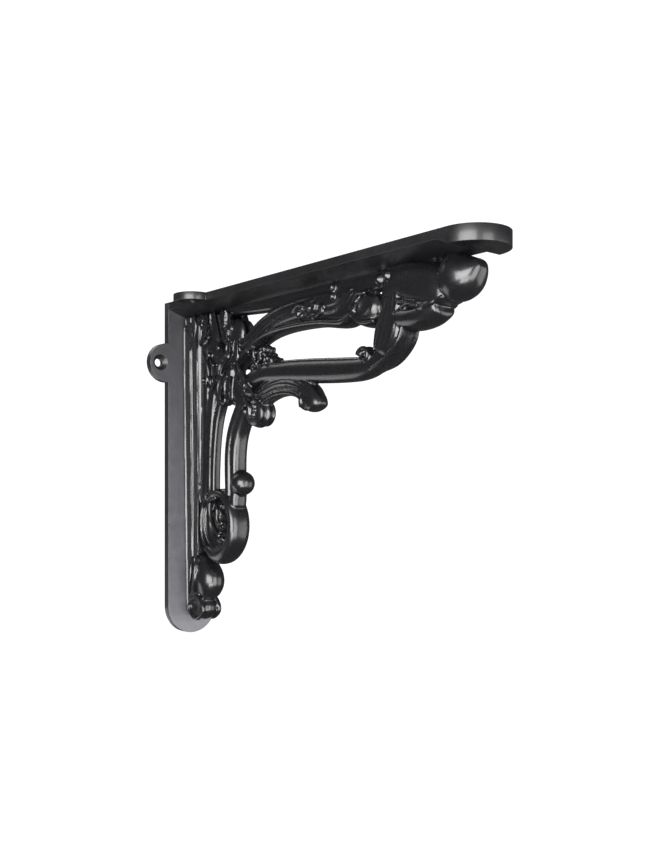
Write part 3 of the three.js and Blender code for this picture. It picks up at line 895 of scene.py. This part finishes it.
def blackPaint():
    material = bpy.data.materials.new("blackPaint")
    material.use_nodes = True
    nodes, links = material.node_tree.nodes, material.node_tree.links
    shader = nodes["Principled BSDF"]
    shader.inputs["Specular IOR Level"].default_value = paint["specular"]
    shader.inputs["Coat Weight"].default_value = paint["coat"]
    shader.inputs["Coat Roughness"].default_value = paint["coatRough"]
    place = nodes.new("ShaderNodeTexCoord")
    parts = nodes.new("ShaderNodeSeparateXYZ")
    links.new(place.outputs["Object"], parts.inputs["Vector"])
    geometry = nodes.new("ShaderNodeNewGeometry")

    def noise(scale, detail):
        node = nodes.new("ShaderNodeTexNoise")
        node.inputs["Scale"].default_value = scale
        node.inputs["Detail"].default_value = detail
        links.new(place.outputs["Object"], node.inputs["Vector"])
        return node.outputs["Fac"]

    def spread(source, low, high, start=0.3, end=0.7):
        node = nodes.new("ShaderNodeMapRange")
        node.inputs["From Min"].default_value = start
        node.inputs["From Max"].default_value = end
        node.inputs["To Min"].default_value = low
        node.inputs["To Max"].default_value = high
        links.new(source, node.inputs["Value"])
        return node.outputs["Result"]

    def maths(kind, *values):
        node = nodes.new("ShaderNodeMath")
        node.operation = kind
        for slot, value in enumerate(values):
            if isinstance(value, float):
                node.inputs[slot].default_value = value
            else:
                links.new(value, node.inputs[slot])
        return node.outputs["Value"]

    def blend(share, first, second):
        node = nodes.new("ShaderNodeMix")
        node.data_type = "RGBA"
        links.new(share, node.inputs["Factor"])
        for socket, colour in (("A", first), ("B", second)):
            if isinstance(colour, tuple):
                node.inputs[socket].default_value = colour
            else:
                links.new(colour, node.inputs[socket])
        return node.outputs["Result"]

    def bumped(height, strength, distance, under=None):
        node = nodes.new("ShaderNodeBump")
        node.inputs["Strength"].default_value = strength
        node.inputs["Distance"].default_value = distance
        links.new(height, node.inputs["Height"])
        if under:
            links.new(under, node.inputs["Normal"])
        return node.outputs["Normal"]

    patches, ripples, grain = (noise(*paint[name]) for name in ("patch", "ripple", "grain"))
    # the two flat plates are sandier than the carving
    onWall = maths("GREATER_THAN", parts.outputs["Y"], paint["plateFace"])
    onShelf = maths("GREATER_THAN", parts.outputs["Z"], shelfTop + paint["plateUnder"])
    onPlate = maths("MAXIMUM", onWall, onShelf)
    roughness = spread(ripples, *paint["rough"])
    roughness = maths("MULTIPLY_ADD", onWall, paint["wallRough"], roughness)
    roughness = maths("MULTIPLY_ADD", onShelf, paint["shelfRough"], roughness)
    links.new(roughness, shader.inputs["Roughness"])
    # painted light: the front face of the wall plate is painted paler towards its foot, standing in for
    # the light that falls on that face
    front = maths("LESS_THAN", parts.outputs["Y"], paint["paintedLitFace"])
    top, foot = (shelfTop + height for height in paint["paintedLitFrom"])
    lower = spread(parts.outputs["Z"], 0.0, 1.0, top, foot)
    paintedLight = maths("MULTIPLY", maths("MULTIPLY", front, lower), spread(ripples, 0.75, 1.0))
    dustAndPaintedLight = blend(spread(patches, 0.0, 1.0), paint["plateTone"], paint["plateDust"])
    # painted light over the random dust tone: the wall plate's front face blends towards a paler colour
    # near its foot
    dustAndPaintedLight = blend(maths("MULTIPLY", paintedLight, onWall), dustAndPaintedLight, paint["paintedLitFoot"])
    ground = blend(onPlate, paint["deep"], dustAndPaintedLight)
    # the paint is rubbed thin on the proud edges of the carving
    edges = spread(geometry.outputs["Pointiness"], 0.0, 1.0, *paint["thinFrom"])
    worn = maths("MULTIPLY", edges, spread(patches, 0.3, 1.0))
    worn = maths("MULTIPLY", worn, maths("SUBTRACT", 1.0, onPlate))
    links.new(blend(worn, ground, paint["thin"]), shader.inputs["Base Color"])
    fine = bumped(grain, *paint["grainBump"])
    links.new(bumped(ripples, *paint["rippleBump"], fine), shader.inputs["Normal"])
    return material


studio = {
    "floorDrop": 0.45,
    "floorSize": 6.0,
    "floorTone": (0.93, 0.93, 0.93, 1),
    "floorRough": 0.9,
    "camera": (-0.364917, -0.578839, -0.124546),  # from the shelf top's wall end
    "heading": -40.0,
    "lens": 41.47,
    "rise": 0.0651,
    "sensor": 36,
    "nearest": 0.01,
    "backdrop": 1.15,
    "room": 0.09,
    "aim": (0, -0.12, -0.04),
    "boxes": {
        "leftBox": ((-1.15, -0.77, 0.0), (1.2, 0.8), 34),
        "frontBox": ((-0.1, -1.4, -0.25), (0.7, 1.1), 16),
        "sideBox": ((0.85, -1.05, -0.3), (0.9, 0.8), 6),
        "backBox": ((0.0, 0.95, 0.85), (1.3, 0.7), 6),
        "lowFront": ((-0.8, -0.95, -0.62), (0.9, 0.45), 13),
        "lowBox": ((-0.25, 0.62, -0.5), (0.7, 0.45), 1.8),
    },
}


def softLight(name, place, size, power):
    bpy.ops.object.select_all(action="DESELECT")
    bpy.ops.object.light_add(type="AREA", location=place)
    light = bpy.context.active_object
    light.name = name
    light.data.shape = "RECTANGLE"
    light.data.size, light.data.size_y = size
    light.data.energy = power
    light.rotation_euler = (Vector(studio["aim"]) - Vector(place)).to_track_quat("-Z", "Y").to_euler()
    light.visible_camera = False


def makeStudio():
    bpy.ops.object.select_all(action="DESELECT")
    bpy.ops.mesh.primitive_plane_add(
        size=studio["floorSize"], location=(0, 0, cadLow.z - studio["floorDrop"])
    )
    floor = bpy.context.active_object
    floor.name = "floor"
    paper = bpy.data.materials.new("palePaper")
    paper.use_nodes = True
    shader = paper.node_tree.nodes["Principled BSDF"]
    shader.inputs["Base Color"].default_value = studio["floorTone"]
    shader.inputs["Roughness"].default_value = studio["floorRough"]
    floor.data.materials.append(paper)
    floor.visible_glossy = False
    world = bpy.data.worlds.new("softSky")
    bpy.context.scene.world = world
    world.use_nodes = True
    background = world.node_tree.nodes["Background"]
    background.inputs["Color"].default_value = (1, 1, 1, 1)
    rays = world.node_tree.nodes.new("ShaderNodeLightPath")
    glow = world.node_tree.nodes.new("ShaderNodeMapRange")  # the room is dimmer in the gloss than behind
    glow.inputs["To Min"].default_value = studio["backdrop"]
    glow.inputs["To Max"].default_value = studio["room"]
    world.node_tree.links.new(rays.outputs["Is Glossy Ray"], glow.inputs["Value"])
    world.node_tree.links.new(glow.outputs["Result"], background.inputs["Strength"])
    bpy.context.scene.view_settings.view_transform = "Standard"
    for name, (place, size, power) in studio["boxes"].items():
        softLight(name, place, size, power)
    x, y, z = studio["camera"]
    bpy.ops.object.camera_add(
        location=(x, y, z + shelfTop), rotation=(math.radians(90), 0, math.radians(studio["heading"]))
    )
    camera = bpy.context.active_object
    camera.data.lens = studio["lens"]
    camera.data.sensor_width = studio["sensor"]
    camera.data.sensor_fit = "AUTO"
    camera.data.shift_y = studio["rise"]
    camera.data.clip_start = studio["nearest"]
    bpy.context.scene.camera = camera


turnSign = findTurnSign()
plateBody = makePlates()
print("plates made")
scrolls = makeScrollwork()
bracketCasting = finishCasting(plateBody, scrolls)
bracketCasting.data.materials.clear()
bracketCasting.data.materials.append(blackPaint())
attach(bracketCasting, "root")
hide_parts("bracket")
print("casting finished")
makeStudio()
print("studio made")
